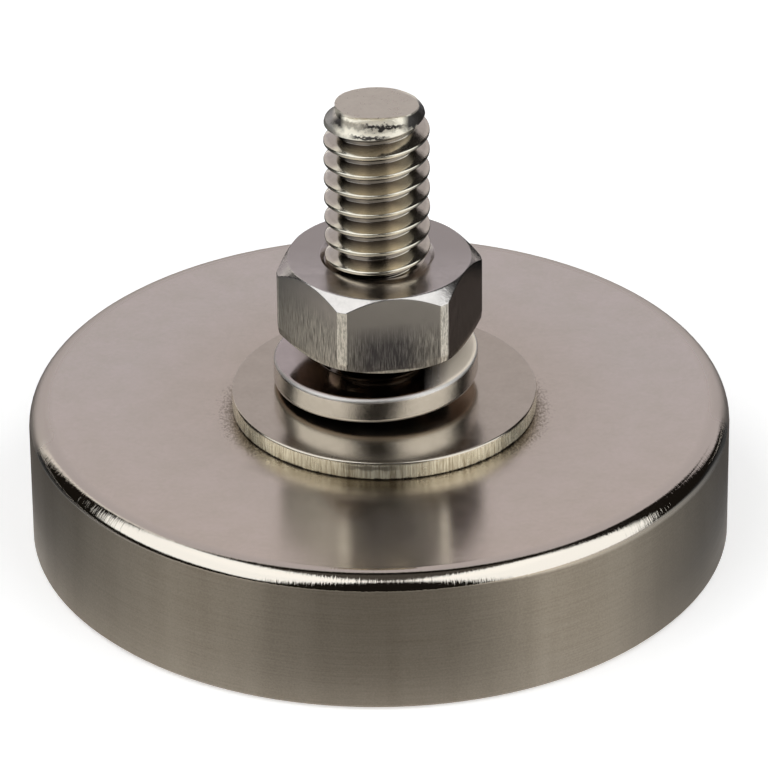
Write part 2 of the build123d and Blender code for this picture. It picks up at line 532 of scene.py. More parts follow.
def flat_washer_material():
    """Bright top, and a sheared rim with upright tears and a yellowish cast, painted shade along
    its front and a painted contact shadow along its foot.
    """
    paint = Paint("flat_washer_nickel", centre=FLAT_WASHER.centre)
    top = paint.mix(paint.mottle(1.6), (0.53, 0.465, 0.375), (0.58, 0.51, 0.415))
    rim = paint.until(paint.height, *RIM)
    tears = paint.streaks(FLAT_WASHER.radius, 0.11, 1.6, 3.0, 0.65)
    sheared = paint.mix(paint.span(tears, 0.34, 0.64), (0.46, 0.39, 0.27), (1.0, 0.93, 0.74))
    ragged = paint.scaled(paint.noise((0.5, 0.5, 0.4)), 0.3, paint.height)
    line = paint.until(paint.off(ragged, FLAT_WASHER.top - RIM_SHADE_DEPTH), *RIM_SHADE_WIDTH)
    aside = paint.off(paint.x, RIM_SHADE_PLACE)
    line = paint.both(line, paint.until(aside, *RIM_SHADE_REACH, 0.75))
    line = paint.both(line, paint.until(paint.y, *RIM_SHADE_BACK))
    sheared = paint.mix(line, sheared, (0.16, 0.135, 0.11))
    contact_edge = paint.scaled(paint.even_noise(0.5, 3.0, 0.7), -CONTACT_SHADOW_HEIGHT, paint.height)
    foot = paint.until(contact_edge, *CONTACT_SHADOW_FOOT)
    sheared = paint.mix(foot, sheared, (0.05, 0.04, 0.03))
    paint.set("Base Color", paint.mix(rim, top, sheared))
    satin = paint.spread(paint.even_noise(1.2), 0.15, 0.21)
    paint.set("Roughness", paint.scaled(rim, 0.08, satin))
    paint.set("Metallic", paint.blend(rim, 1.0, 0.72))
    paint.bump(paint.even_noise(0.1, 2.0, 0.6), 0.0015)
    paint.bump(tears, 0.02, rim)
    return paint.material


SPRING_BORE_SHADE = (3.7, 5.0)  # radii: the wire's top is painted darker towards the bore: painted shade under the nut
SPRING_LIT_RIGHT = (2.8, 4.4)  # and dull and pale at the right: painted light from the right
SPRING_UP = (0.5, 0.85)  # upward part of the normal
SPRING_WALL = (0.6, 0.9)  # upward or downward part of it
SPRING_BEVEL = (0.2, 0.4)
SPRING_BEVEL_END = (0.86, 0.96)


def lock_washer_material():
    """Drawn wire: fine lines along it, and a speckled skin on its outer side; its top has painted
    shade towards the bore and painted light at the right.
    """
    paint = Paint("lock_washer_nickel", centre=LOCK_WASHER.centre)
    share = paint.mottle(1.2)
    top = paint.mix(share, (0.515, 0.448, 0.41), (0.56, 0.487, 0.447))
    side = paint.mix(share, (0.585, 0.545, 0.5), (0.65, 0.605, 0.555))
    level = paint.math("ABSOLUTE", paint.facing)
    wall = paint.until(level, *SPRING_WALL)
    top = paint.mix(paint.span(paint.radius, *SPRING_BORE_SHADE), (0.3, 0.25, 0.2), top)
    # Painted light: the top is pale and partly diffuse at the right
    dull = paint.both(paint.span(paint.x, *SPRING_LIT_RIGHT), paint.span(paint.facing, *SPRING_UP))
    top = paint.mix(dull, top, (1.0, 0.87, 0.70))
    paint.set("Metallic", paint.blend(dull, 1.0, 0.2))
    paint.set("Base Color", paint.mix(wall, top, side))
    specks = paint.even_noise(0.07, 2.0, 0.7)
    bevel = paint.both(paint.span(level, *SPRING_BEVEL), paint.until(level, *SPRING_BEVEL_END))
    satin = paint.scaled(bevel, 0.30, paint.spread(specks, 0.08, 0.16))
    paint.set("Roughness", paint.scaled(dull, 0.25, satin))
    paint.bump(paint.noise((1.6, 1.6, 0.06), 1.0), 0.002)
    paint.bump(specks, 0.012, wall)
    return paint.material


WALL_LEVEL = (0.25, 0.5)  # upward or downward part of the normal: less is the nut's wall
FRONT_FACING = (-0.92, -0.8)  # the front flat's normal along Y
RIGHT_FACING = (0.8, 0.9)  # the right flat's along X
CORNER_RADII = (6.105, 6.12)
TOP_FACING = (0.93, 0.97)  # upward part of the normal: more is the top face
TOP_SHADE = (-2.0, 1.0)  # which is painted darker at the back: painted shade behind the stud
DRAG_TOP = (NUT.bottom + 2.9, NUT.bottom + 4.3)  # the drag marks end here
DRAG_FRONT = 0.7  # and this much lower on the front flat
FRONT_SHADE_MIDDLE = 0.4  # the front flat is painted darkest here: painted shade
FRONT_SHADE_REACH = (1.0, 2.4)
LEFT_FLAT_SHADE = (-6.0, -3.2)  # the left flat is painted dimmer further left: painted shade
CHAMFER = (0.5, 0.6)  # upward or downward part of the chamfers' normal
CHAMFER_END = (0.8, 0.9)
CHAMFER_SHADE = (4.3, 4.9)  # they are painted darker at the right: painted shade
FOOT_TOP = (NUT.bottom + 0.42, NUT.bottom + 0.5)  # of a scuffed strip along the flats' foot
UNDERSIDE = (-0.6, -0.4)  # upward part of the normal
MOUTH_TOP = (NUT.top - 0.55, NUT.top - 0.15)  # the bore is painted dark below this: painted shade
MOUTH_RADII = (4.2, 4.4)


def nut_material():
    """Satin faces; the flats carry fine upright drag marks, the corners are scuffed, and painted
    shade darkens several faces.
    """
    paint = Paint("nut_nickel", centre=NUT_CENTRE)
    paint.set("Specular Tint", (0.6, 0.58, 0.56, 1))
    share = paint.mottle(0.9)
    colour = paint.mix(share, (0.55, 0.505, 0.465), (0.612, 0.562, 0.518))
    level = paint.math("ABSOLUTE", paint.facing)
    # Painted shade at the back of the top face
    back = paint.both(paint.span(paint.facing, *TOP_FACING), paint.span(paint.y, *TOP_SHADE))
    colour = paint.mix(back, colour, (0.5, 0.458, 0.418))

    # The flats
    wall = paint.until(level, *WALL_LEVEL)
    front = paint.until(paint.turn, *FRONT_FACING)
    right = paint.span(paint.across, *RIGHT_FACING)
    reach = paint.scaled(front, DRAG_FRONT, paint.height)
    lower = paint.until(reach, *DRAG_TOP)
    corner = paint.both(wall, paint.span(paint.radius, *CORNER_RADII))
    flat = paint.math("SUBTRACT", wall, corner, clamp=True)
    dragged = paint.both(flat, lower)
    drags = paint.noise((0.075, 0.075, 0.9), 3.0, 0.65)
    marks = paint.span(drags, 0.34, 0.66)
    worn = paint.mix(marks, (0.19, 0.175, 0.16), (0.78, 0.74, 0.67))
    # Painted shade on the front flat: darker overall, darkest in the middle of its lower part
    shaded_middle = paint.mix(paint.span(drags, 0.45, 0.8), (0.12, 0.112, 0.115), (0.42, 0.4, 0.39))
    aside = paint.off(paint.x, FRONT_SHADE_MIDDLE)
    shaded_middle = paint.mix(paint.span(aside, *FRONT_SHADE_REACH, 0.0, 0.65), shaded_middle, worn)
    colour = paint.mix(paint.both(flat, front), colour, (0.39, 0.365, 0.341))
    colour = paint.mix(dragged, colour, paint.mix(front, worn, shaded_middle))
    dim = paint.both(flat, paint.until(paint.x, *LEFT_FLAT_SHADE, 0.7))
    colour = paint.mix(dim, colour, (0.26, 0.245, 0.225))
    # Painted shade: the right flat is near black
    dark = paint.mix(marks, (0.05, 0.046, 0.043), (0.135, 0.127, 0.12))
    colour = paint.mix(paint.both(flat, right), colour, dark)

    # The chamfers, corners and foot
    slope = paint.both(paint.span(level, *CHAMFER), paint.until(level, *CHAMFER_END))
    darker = paint.both(slope, paint.span(paint.x, *CHAMFER_SHADE))
    colour = paint.mix(darker, colour, (0.48, 0.445, 0.41))
    scuffs = paint.noise((0.12, 0.12, 0.4), 3.0, 0.7)
    scuffed = paint.mix(paint.span(scuffs, 0.35, 0.6), (0.42, 0.4, 0.36), (0.86, 0.82, 0.75))
    foot = paint.both(wall, paint.until(paint.height, *FOOT_TOP))
    colour = paint.mix(paint.either(corner, foot), colour, scuffed)

    # The underside and the bore, painted dark: painted shade where light hardly reaches
    below = paint.until(paint.facing, *UNDERSIDE)
    sunk = paint.until(paint.height, *MOUTH_TOP)
    bore = paint.both(sunk, paint.until(paint.radius, *MOUTH_RADII))
    paint.set("Base Color", paint.mix(paint.either(below, bore), colour, (0.15, 0.11, 0.08)))

    satin = paint.spread(paint.even_noise(0.6), 0.18, 0.25)
    satin = paint.scaled(flat, paint.blend(right, 0.12, -0.05), satin)
    paint.set("Roughness", paint.scaled(corner, 0.2, satin))
    paint.bump(paint.even_noise(0.12, 2.0, 0.6), 0.003)
    paint.bump(drags, 0.010, dragged)
    paint.bump(scuffs, 0.03, corner)
    paint.bump(paint.even_noise(0.25, 3.0, 0.65), 0.012, slope)
    return paint.material


ROOT_RISE = 0.1  # the thread's colour brightens from here over its root
CREST_DROP = 0.12  # to here under its crest
ROOT_RIGHT = (0.9, 1.8)  # the painted shade in its roots is lighter at the right and left
ROOT_LEFT = (-2.4, -2.0)
THREAD_END = (STUD.top - 0.45, STUD.top - 0.15)  # and where they end
TIP_START = (STUD.top - 1.3, STUD.top - 0.8)  # where the tip's chamfer starts
TIP_FLAT = (STUD.top - 0.08, STUD.top - 0.02)  # and its ground flat
TIP_RAGGED = 0.45  # the chamfer's marks wander up and down by this
TIP_LOW = (STUD.top - 0.95, STUD.top - 0.70)  # the chamfer is darker below this
TIP_SIDE = (2.3, 2.6)  # left and right of this
SHADOW_LINE_DEPTH = 0.40  # and along a painted shadow line between two bright bands
SHADOW_LINE_WIDTH = (0.02, 0.15)
CRACKS = ((0.37, 0.4, 1.4), (0.76, -0.4, 1.3))  # each one's depth, middle and reach
CRACK_WIDTH = (0.04, 0.09)
CRACK_FADE = 0.6  # it fades from this share of its reach on
CRACK_BACK = (-1.4, -1.0)
TIP_SHADE_FOOT = (STUD.top - 0.75, STUD.top - 0.55)  # the tip's sides carry painted shade above this
TIP_SHADE_RIGHT = (1.5, 1.9)
TIP_SHADE_RIGHT_BACK = (0.2, 0.9)
TIP_SHADE_LEFT = (-2.1, -1.8)
TIP_SHADE_LEFT_BACK = (-1.0, -0.4)
LEFT_ROOT_SHADE_PLACE = -2.05  # a dark upright strip of painted shade at the left, in the thread's roots only
LEFT_ROOT_SHADE_WIDTH = (0.12, 0.30)
LEFT_ROOT_SHADE_BACK = (-0.9, -0.5)
NUT_SHADE = (NUT.bottom - 0.1, NUT.bottom + 0.1)  # the stud is painted dark below this: painted shade under the nut


def crack(paint, rise, depth, middle, reach):
    """A dark, ragged line across the front of the stud's tip."""
    near = paint.until(paint.off(rise, STUD.top - depth), *CRACK_WIDTH)
    aside = paint.off(paint.x, middle)
    line = paint.both(near, paint.until(aside, reach * CRACK_FADE, reach))
    return paint.both(line, paint.until(paint.y, *CRACK_BACK))


def tip_cracks_and_shade(paint, rise):
    """The tip's cracks, and painted shade at each side of it."""
    cracks = paint.either(*(crack(paint, rise, *place) for place in CRACKS))
    right_shade = paint.both(paint.span(paint.x, *TIP_SHADE_RIGHT), paint.until(paint.y, *TIP_SHADE_RIGHT_BACK))
    left_shade = paint.both(paint.until(paint.x, *TIP_SHADE_LEFT), paint.until(paint.y, *TIP_SHADE_LEFT_BACK))
    above = paint.span(rise, *TIP_SHADE_FOOT)
    return paint.either(cracks, paint.both(paint.either(right_shade, left_shade), above))


def tip_colour(paint, rise):
    """Creamy, darker towards the thread, along a painted shadow line and at both sides."""
    low = paint.until(rise, *TIP_LOW)
    colour = paint.mix(low, (0.86, 0.78, 0.63), (0.46, 0.41, 0.33))
    shadow_line = paint.until(paint.off(rise, STUD.top - SHADOW_LINE_DEPTH), *SHADOW_LINE_WIDTH, 0.7)
    colour = paint.mix(shadow_line, colour, (0.27, 0.235, 0.18))
    side = paint.span(paint.math("ABSOLUTE", paint.x), *TIP_SIDE)
    return paint.mix(side, colour, (0.36, 0.335, 0.3))


def stud_material():
    """Rolled thread: bright crests, roots darkened by painted shade, and a ground, pitted end."""
    paint = Paint("stud_nickel")
    share = paint.mottle(0.8)
    bright = paint.mix(share, (0.64, 0.58, 0.47), (0.71, 0.648, 0.53))
    # Painted shade: the thread's roots are much darker than its crests
    root = paint.mix(share, (0.265, 0.235, 0.203), (0.308, 0.274, 0.241))
    raised = paint.span(paint.radius, THREAD_ROOT_RADIUS + ROOT_RISE, THREAD_RADIUS - CREST_DROP)
    right = paint.span(paint.x, *ROOT_RIGHT, 0.0, 0.7)
    beyond = paint.either(right, paint.until(paint.x, *ROOT_LEFT, 0.7))
    bare = paint.either(raised, beyond)
    end = paint.span(paint.height, *THREAD_END)
    colour = paint.mix(paint.either(bare, end), root, bright)

    tip = paint.span(paint.height, *TIP_START)
    flat = paint.span(paint.height, *TIP_FLAT)
    worn = paint.math("SUBTRACT", tip, flat, clamp=True)
    ragged = paint.math("SUBTRACT", paint.even_noise(0.3, 3.0, 0.6), 0.5)
    rise = paint.scaled(ragged, TIP_RAGGED, paint.height)
    colour = paint.mix(worn, colour, tip_colour(paint, rise))
    paint.set("Metallic", paint.blend(worn, 1.0, 0.6))
    # The tip's cracks and the painted shade at its sides
    cracks_and_shade = paint.both(tip_cracks_and_shade(paint, rise), paint.rest(flat))
    colour = paint.mix(cracks_and_shade, colour, (0.035, 0.03, 0.026))

    aside = paint.off(paint.x, LEFT_ROOT_SHADE_PLACE)
    strip = paint.both(paint.until(aside, *LEFT_ROOT_SHADE_WIDTH, 0.8), paint.until(paint.y, *LEFT_ROOT_SHADE_BACK))
    strip = paint.both(strip, paint.until(paint.either(raised, tip), 0.0, 0.7))
    colour = paint.mix(strip, colour, (0.1, 0.082, 0.06))
    dark = paint.until(paint.height, *NUT_SHADE)
    paint.set("Base Color", paint.mix(dark, colour, (0.12, 0.1, 0.08)))

    lines = paint.streaks(THREAD_RADIUS, 0.05, 0.5, 2.0, 0.6)
    rough = paint.blend(tip, paint.spread(lines, 0.11, 0.16), 0.36)
    paint.set("Roughness", paint.blend(flat, rough, paint.blend(share, 0.26, 0.34)))
    paint.bump(lines, 0.002, paint.rest(flat))
    dents = paint.even_noise(0.22, 3.0, 0.6)
    paint.bump(dents, 0.035, worn)
    paint.bump(dents, 0.006, flat)
    return paint.material


def magnet_material():
    """Dull nickel with the grinding's straight marks."""
    paint = Paint("magnet_nickel")
    paint.set("Base Color", paint.mix(paint.mottle(1.5), (0.52, 0.495, 0.465), (0.6, 0.575, 0.54)))
    ground = paint.noise((3.0, 0.12, 3.0))
    paint.set("Roughness", paint.spread(ground, 0.28, 0.42))
    paint.bump(ground, 0.004)
    return paint.material


def resin_material():
    """Cast black resin, uneven and half glossy."""
    paint = Paint("resin_black", 0.0)
    patches = paint.even_noise(0.8, 3.0, 0.6)
    share = paint.span(patches, 0.35, 0.65)
    paint.set("Base Color", paint.mix(share, (0.012, 0.012, 0.014), (0.03, 0.029, 0.03)))
    paint.set("Roughness", paint.spread(patches, 0.3, 0.5))
    paint.bump(paint.even_noise(1.4), 0.05)
    return paint.material


# --- Stud ---
def thread_profile(root, crest, crest_width, crest_round, root_round):
    """One pitch of a 60 degree thread, from root to root, as (radius, height) points."""
    half_crest = crest_width / 2
    half_base = half_crest + abs(crest - root) * tan(THREAD_FLANK)
    half = THREAD_PITCH / 2
    corners = [(root, -half), (root, -half_base), (crest, -half_crest)]
    corners += [(crest, half_crest), (root, half_base), (root, half)]
    return rounded(corners, [0, root_round, crest_round, crest_round, root_round, 0], steps=4)


def thread_start():
    """Height of the crest that passes +X (angle 0), before whole pitches are added."""
    return THREAD_CREST_HEIGHT - THREAD_PITCH * THREAD_CREST_ANGLE / 360


def helical(name, profile, low, high, limit):
    """A thread's profile wound from height low to high. limit() trims each (radius, height)."""
    start = thread_start()
    first = int((low - start) // THREAD_PITCH)
    last = ceil((high - start) / THREAD_PITCH)
    rings = []
    for step in range((last - first) * THREAD_STEPS + 1):
        turns = first + step / THREAD_STEPS
        middle = start + THREAD_PITCH * turns
        angle = 2 * pi * turns
        ring = []
        for p in profile:
            radius, height = limit(p.x, angle, middle + p.y)
            ring.append(cylindrical(radius, angle, height))
        rings.append(ring)
    return skin(name, rings, ring_closed=False)


def tip_radius(angle, down):
    """How far out the stud's rounded end reaches at a depth below its flat."""
    near = TIP_FRONT_RADIUS if sin(angle) < 0 else TIP_BACK_RADIUS
    ahead = sin(angle) ** 2
    flat = TIP_RADIUS + (near - TIP_RADIUS) * ahead
    depth = TIP_DEPTH + (TIP_FRONT_DEPTH - TIP_DEPTH) * ahead
    left = 1 - min(down / depth, 1)
    return flat + (THREAD_RADIUS - flat) * (1 - left ** TIP_ROUND)


def stud_limit(radius, angle, height):
    """Keeps the thread under the rounded tip and above the pot's top, closing it at both."""
    if height > STUD.top:
        return max(tip_radius(angle, 0) - (height - STUD.top) * TIP_SLOPE, 0), STUD.top
    foot = POT.top - THREAD_SINK
    if height < foot:
        return max(THREAD_RADIUS - (foot - height) * THREAD_CLOSING, 0), foot
    down = STUD.top - height
    if down > TIP_DEPTH:
        return radius, height
    low = max(0, 1 - (radius - THREAD_ROOT_RADIUS) / TIP_GROOVE_RISE)
    groove = TIP_GROOVE * low * min(down * TIP_GROOVE_FADE, 1)
    spot = cylindrical(TIP_ROUGH_RADIUS, angle, height) / TIP_ROUGH_CELL
    rough = TIP_ROUGH * noise.noise(spot) * min(down * TIP_ROUGH_FADE, 1) * (1 - down / TIP_DEPTH)
    return min(radius, tip_radius(angle, down) - groove + rough), height


def make_stud():
    profile = thread_profile(
        THREAD_ROOT_RADIUS, THREAD_RADIUS, THREAD_CREST, THREAD_CREST_ROUND, THREAD_ROOT_ROUND
    )
    low = POT.top - THREAD_SINK - 2 * THREAD_PITCH
    high = STUD.top + TIP_RADIUS / TIP_SLOPE + THREAD_PITCH
    thread = helical("thread", profile, low, high, stud_limit)
    head_top = STUD.bottom + STUD_HEAD_HEIGHT
    corners = [(0, STUD.bottom), (STUD_HEAD_RADIUS, STUD.bottom), (STUD_HEAD_RADIUS, head_top)]
    corners += [(SHANK_RADIUS, head_top), (SHANK_RADIUS, POT.top), (0, POT.top)]
    shank = lathe("shank", rounded(corners, STUD_FOOT_ROUNDS, steps=3), STUD_FOOT_STEPS)
    return joined("threaded_stud", thread, shank)


# --- Nut ---
def hexagon_outline():
    """Points round the nut: a hexagon with its corners cut off and finely divided sides."""
    corner = NUT_FLATS / 2 / cos(radians(30))
    angles = [radians(NUT_TURN + 60 * i) for i in range(6)]
    sharp = [Vector((corner * cos(a), corner * sin(a))) for a in angles]
    cut = []
    for i, point in enumerate(sharp):
        for other in (sharp[i - 1], sharp[(i + 1) % 6]):
            cut.append(point + (other - point).normalized() * NUT_CORNER_CUT)
    turned = rounded(cut, NUT_CORNER_ROUND, steps=5, closed=True)
    outline = []
    for i, point in enumerate(turned):
        following = turned[(i + 1) % len(turned)]
        outline.append(point)
        if (following - point).length > 1:
            steps = range(1, NUT_SIDE_STEPS)
            outline += [point.lerp(following, k / NUT_SIDE_STEPS) for k in steps]
    return outline


def nut_column(point):
    """The nut's section in the upright plane through a point of its outline."""
    out = point.length
    flat = NUT_FLATS / 2
    top_face = flat - NUT_TOP_BEVEL
    bottom_face = flat - NUT_BOTTOM_BEVEL / tan(NUT_BOTTOM_SLOPE)
    foot = NUT.bottom + (out - bottom_face) * tan(NUT_BOTTOM_SLOPE)
    corners = [
        (NUT_MOUTH_EDGE, NUT.bottom),
        (bottom_face, NUT.bottom),
        (out - NUT_LIP, foot),
        (out, foot + NUT_LIP_HEIGHT),
        (out, NUT.top - (out - top_face)),
        (top_face, NUT.top),
        (NUT_MOUTH_EDGE, NUT.top),
    ]
    return rounded(corners, NUT_ROUNDS, steps=5)


def mouth_point(angle, radius, height, share=1.0):
    """A point of the countersink, which was cut a little off the nut's middle."""
    return cylindrical(radius, angle, height) + Vector((*NUT_MOUTH_SHIFT, 0)) * share


def nut_limit(radius, angle, height):
    """Keeps the thread inside the nut's two faces."""
    low, high = NUT.bottom + NUT_THREAD_END, NUT.top - NUT_THREAD_END
    return radius, min(max(height, low), high)


def make_nut():
    depth = NUT_MOUTH_DEPTH
    corners = [(NUT_MOUTH_EDGE, 0), (NUT_MOUTH, 0), (NUT_MOUTH - depth, -depth)]
    corners.append((NUT_BORE, -depth - NUT_BORE_DROP))
    funnel = rounded(corners, [0, NUT_MOUTH_ROLL, 0, 0])[1:]
    rings = []
    for point in hexagon_outline():
        angle = atan2(point.y, point.x)
        column = [cylindrical(p.x, angle, p.y) for p in nut_column(point)]
        above = [mouth_point(angle, p.x, NUT.top + p.y) for p in funnel]
        below = [mouth_point(angle, p.x, NUT.bottom - p.y, NUT_MOUTH_BELOW) for p in funnel]
        rings.append(below[::-1] + column + above)
    body = skin("nut_body", rings, ring_closed=False, rings_closed=True)

    bore = [Vector((p.x, p.y + THREAD_PITCH / 2)) for p in thread_profile(*NUT_THREAD)]
    low, high = NUT.bottom - THREAD_PITCH, NUT.top + THREAD_PITCH
    thread = helical("nut_thread", bore, low, high, nut_limit)
    thread.data.flip_normals()
    thread.data.transform(Matrix.Translation((-NUT_CENTRE[0], -NUT_CENTRE[1], 0)))
    return joined("hexagon_nut", body, thread)


# --- Washers ---
def make_flat_washer():
    low, high, out = FLAT_WASHER.bottom, FLAT_WASHER.top, FLAT_WASHER.radius
    corners = [(WASHER_BORE_RADIUS, low), (out, low), (out, high), (WASHER_BORE_RADIUS, high)]
    profile = rounded(corners, WASHER_ROUNDS, closed=True)
    return lathe("flat_washer_disc", profile, WASHER_STEPS)


def make_lock_washer():
    """One turn of wire. Each line along it has its own ends, which together lie in slanting
    planes."""
    middle = LOCK_WASHER.radius - SPRING_WIDTH / 2
    half_width, half_height = SPRING_WIDTH / 2, SPRING_THICKNESS / 2
    corners = [(-half_width, -half_height), (half_width, -half_height)]
    corners += [(half_width, half_height), (-half_width, half_height)]
    section = rounded(corners, SPRING_ROUND, closed=True)
    lean = tan(radians(SPRING_SLANT))
    low = LOCK_WASHER.bottom + half_height
    rings = []
    for step in range(SPRING_STEPS + 1):
        share = step / SPRING_STEPS
        ring = []
        for p in section:
            radius = middle + p.x
            start = (SPRING_SLOT / 2 + lean * (p.y - SPRING_LEAD / 2)) / radius
            end = (-SPRING_SLOT / 2 + lean * (p.y + SPRING_LEAD / 2)) / radius + 2 * pi
            angle = start + (end - start) * share
            height = low + SPRING_LEAD * angle / (2 * pi) + p.y
            ring.append(cylindrical(radius, angle + radians(SPRING_SPLIT), height))
        rings.append(ring)
    return skin("spring_washer", rings, caps=True)


# --- Build ---
def paint_pot():
    """The pot keeps its CAD mesh: its wall is left turned, the rest of it is satin."""
    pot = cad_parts["pot"]
    pot.data.materials.clear()
    pot.data.materials.append(pot_top_material())
    pot.data.materials.append(pot_side_material())
    for face in pot.data.polygons:
        outer = hypot(face.center.x, face.center.y) / MM > POT.radius - POT_EDGE
        face.material_index = int(outer and WALL_UNDER < face.normal.z < WALL_SLOPE)


def paint_node(node, material):
    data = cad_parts[node].data
    data.materials.clear()
    data.materials.append(material)


place(make_stud(), "stud", "stud_nickel", stud_material())
place(make_nut(), "hex_nut", "nut_steel", nut_material(), NUT_CENTRE)
place(make_flat_washer(), "flat_washer", "washer_steel", flat_washer_material(), FLAT_WASHER.centre)
spring = make_lock_washer()
centre = LOCK_WASHER.centre
place(spring, "lock_washer", "spring_steel", lock_washer_material(), centre, SPRING_SHARP_ANGLE)
paint_pot()
paint_node("magnet", magnet_material())
paint_node("resin_ring", resin_material())


# --- Studio ---
# In metres and degrees. Two softboxes stand left and right of the camera. The metal also
# mirrors a dark room with a grey ceiling over its front, a grey backdrop behind, and a table
# of several greys round the object. Only its reflections see them.
BOX_DISTANCE = 0.55
BOX_RADIANCE = 1.5
BOX_TINT = (0.94, 1.0, 1.06)
SOFTBOXES = (  # name, azimuth, elevation, width, height
    ("softbox_left", -65, 45, 0.70, 0.64),
    ("softbox_right", 62, 35.5, 0.63, 0.78),
)
UNDER = -0.1  # the cards' feet are below the floor
ROOM_COLOUR = (0.011, 0.0095, 0.008)
ROOM_SIDE = 0.9
ROOM_FRONT = -0.9
ROOM_WALL = 2.6  # height of the side walls
ROOM_HEIGHT = 1.2  # of the front wall and the ceiling
ROOM_CEILING_END = 0.48
ROOM_LEFT_END = 0.78
ROOM_RIGHT_END = 0.95  # of the wall's upper part; its foot ends nearer
ROOM_RIGHT_FOOT_END = 0.55
ROOM_RIGHT_FOOT = 0.7
ROOM_SKIRTING = 0.25
CEILING_COLOUR = (0.084, 0.079, 0.073)
CEILING_BACK = 0.15  # from here on it is as dark as the walls
FLAG_SIDE = 0.30  # a dark flag cuts the right softbox off, upright
FLAG_FRONT = 0.02
FLAG_BACK = 0.218
FLAG_HEIGHT = 0.75
BACKDROP_COLOUR = (0.599, 0.574, 0.624)
BACKDROP_LEFT = (-1.15, 1.3)
BACKDROP_RIGHT = (2.2, 1.3)
BACKDROP_HEIGHT = 3.0
TABLE_START = 0.0235  # it begins close round the pot
TABLE_REACH = 0.6
TABLE_BACK_EDGE = 0.3
TABLE_LIFT = 0.0001
TABLE_STEPS = 72
TABLE_FRONT = 0.43  # its greys
TABLE_LEFT = 0.73
TABLE_RIGHT = 1.0
TABLE_BACK = 0.06
TABLE_DARK = 0.02
TABLE_TINT = (1.0, 0.97, 0.90)
TABLE_BACK_TINT = (0.88, 0.95, 1.04)
TABLE_MIDDLE = (-0.1, 0.1)  # radians: left turns into right
TABLE_ASIDE = (20, 36)  # azimuths, both ways: the front grey turns into the side's
TABLE_BEHIND = (45, 110)  # and that into the back's
TABLE_FAR = (0.055, 0.075)  # further off, the back is darker still
TABLE_FAR_ASIDE = (95, 108)
FLOOR_REACH = 3.0
FLOOR_COLOUR = (0.83, 0.80, 0.77)
FLOOR_ROUGHNESS = 0.9
FLOOR_DROP = 0.00002
FLOOR_WHITE = 0.42  # its own glow under the object, on top of the lamps' light
FLOOR_FAR_WHITE = 0.95  # and far away, where the lamps hardly reach
FLOOR_FAR = (0.12, 0.5)
WORLD_DIM = 0.3


def aimed(direction, roll=0.0):
    """Turns local -Z along the direction, with local Y as near upright as it goes."""
    return direction.to_track_quat("-Z", "Y") @ Quaternion((0, 0, 1), roll)


def from_object(azimuth, elevation, distance):
    a, e = radians(azimuth), radians(elevation)
    return Vector((sin(a) * cos(e), -cos(a) * cos(e), sin(e))) * distance


def softbox(name, azimuth, elevation, width, height):
    light = bpy.data.lights.new(name, "AREA")
    light.shape = "RECTANGLE"
    light.size = width
    light.size_y = height
    light.energy = BOX_RADIANCE * pi * width * height
    light.color = BOX_TINT
    lamp = linked(name, light)
    lamp.location = from_object(azimuth, elevation, BOX_DISTANCE)
    lamp.rotation_mode = "QUATERNION"
    lamp.rotation_quaternion = aimed(-lamp.location)
    lamp.visible_camera = False


def sheet(name, quads, material):
    """A piece of the studio, made of flat four-cornered faces."""
    mesh = bpy.data.meshes.new(name)
    corners = [corner for quad in quads for corner in quad]
    faces = [tuple(range(i, i + 4)) for i in range(0, len(corners), 4)]
    mesh.from_pydata(corners, [], faces)
    mesh.materials.append(material)
    made = linked(name, mesh)
    return made


def card(name, quads, material):
    """A sheet that only the metal's reflections see."""
    made = sheet(name, quads, material)
    for rays in ("camera", "diffuse", "shadow", "transmission"):
        setattr(made, "visible_" + rays, False)


def glow(name, colour=None):
    """A material that only glows, its nodes and its emission shader."""
    material = bpy.data.materials.new(name)
    nodes = Nodes(material)
    nodes.tree.nodes.clear()
    shine = nodes.add("Emission", (*colour, 1) if colour else None)
    nodes.add("OutputMaterial", shine.outputs[0])
    return material, nodes, shine


def standing(a, b, height, foot=UNDER):
    """The corners of an upright card over the line from a to b."""
    return [(*a, foot), (*b, foot), (*b, height), (*a, height)]


def lying(low, high, height):
    """The corners of a level card between two opposite ones."""
    return [(*low, height), (high[0], low[1], height), (*high, height), (low[0], high[1], height)]


def table_quads():
    """A level ring of faces round the object, which stops at a straight line behind it."""
    reach, back = TABLE_REACH, TABLE_BACK_EDGE
    rows = []
    for step in range(TABLE_STEPS + 1):
        azimuth = 2 * pi * step / TABLE_STEPS
        ends = (TABLE_START, min(reach, back / max(-cos(azimuth), back / reach)))
        rows.append([(r * sin(azimuth), -r * cos(azimuth), TABLE_LIFT) for r in ends])
    return [[one[0], one[1], two[1], two[0]] for one, two in zip(rows, rows[1:])]


def make_room():
    side, front = ROOM_SIDE, ROOM_FRONT
    quads = [
        standing((-side, front), (side, front), ROOM_HEIGHT),
        standing((-side, front), (-side, ROOM_LEFT_END), ROOM_WALL),
        standing((side, front), (side, ROOM_RIGHT_FOOT_END), ROOM_WALL),
        standing((side, front), (side, ROOM_RIGHT_END), ROOM_WALL, ROOM_RIGHT_FOOT),
        standing((side, front), (side, BACKDROP_RIGHT[1]), ROOM_SKIRTING),
        lying((-side, CEILING_BACK), (side, ROOM_CEILING_END), ROOM_HEIGHT),
        standing((FLAG_SIDE, FLAG_FRONT), (FLAG_SIDE, FLAG_BACK), FLAG_HEIGHT),
    ]
    card("dark_room", quads, glow("dark_cloth", ROOM_COLOUR)[0])
    ceiling = lying((-side, front), (side, CEILING_BACK), ROOM_HEIGHT)
    card("ceiling", [ceiling], glow("grey_cloth", CEILING_COLOUR)[0])
    backdrop = standing(BACKDROP_LEFT, BACKDROP_RIGHT, BACKDROP_HEIGHT)
    card("backdrop", [backdrop], glow("grey_paper", BACKDROP_COLOUR)[0])


